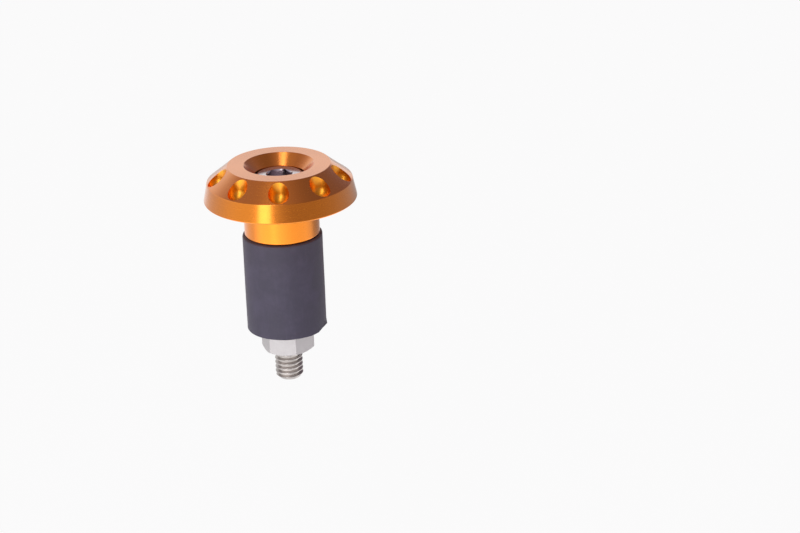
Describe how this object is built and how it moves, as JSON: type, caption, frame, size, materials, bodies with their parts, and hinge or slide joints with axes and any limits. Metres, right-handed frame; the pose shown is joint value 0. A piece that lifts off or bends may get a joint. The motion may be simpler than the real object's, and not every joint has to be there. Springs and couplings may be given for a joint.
{
  "type": "bar end weight",
  "caption": "Turned bar end weight with a dimpled flanged head, and a rubber expander sleeve squeezed by a socket screw and nut.",
  "frame": {"origin": "centre of the rim's underside, which seats on the end of the handlebar tube", "axes": "+Z along the weight's axis, outward through the front face; the screw points along -Z, and one dimple lies close to -Y"},
  "size_m": [0.0324, 0.0324, 0.0487],
  "materials": {
    "anodised_aluminium": "turned and anodised orange gold",
    "sleeve_rubber": "matt",
    "screw_steel": "polished head, plain rolled thread",
    "nut_steel": "bright"
  },
  "bodies": {
    "weight": {"weight": "anodised_aluminium", "rubber_sleeve": "sleeve_rubber"},
    "screw": {"socket_screw": "screw_steel"},
    "nut": {"nut": "nut_steel"}
  },
  "joints": [
    {"name": "screw_turn", "type": "hinge", "parent": "weight", "child": "screw", "pos_m": [0, 0, 0], "axis": [0, 0, -1], "range_deg": [0, 1080]},
    {"name": "nut_draw", "type": "slide", "parent": "weight", "child": "nut", "axis": [0, 0, 1], "range_m": [0, 0.003], "deforming": ["rubber_sleeve"]}
  ],
  "couplings": [
    {"joint": "nut_draw", "follows": "screw_turn", "m_per_rad": 0.00015915}
  ]
}
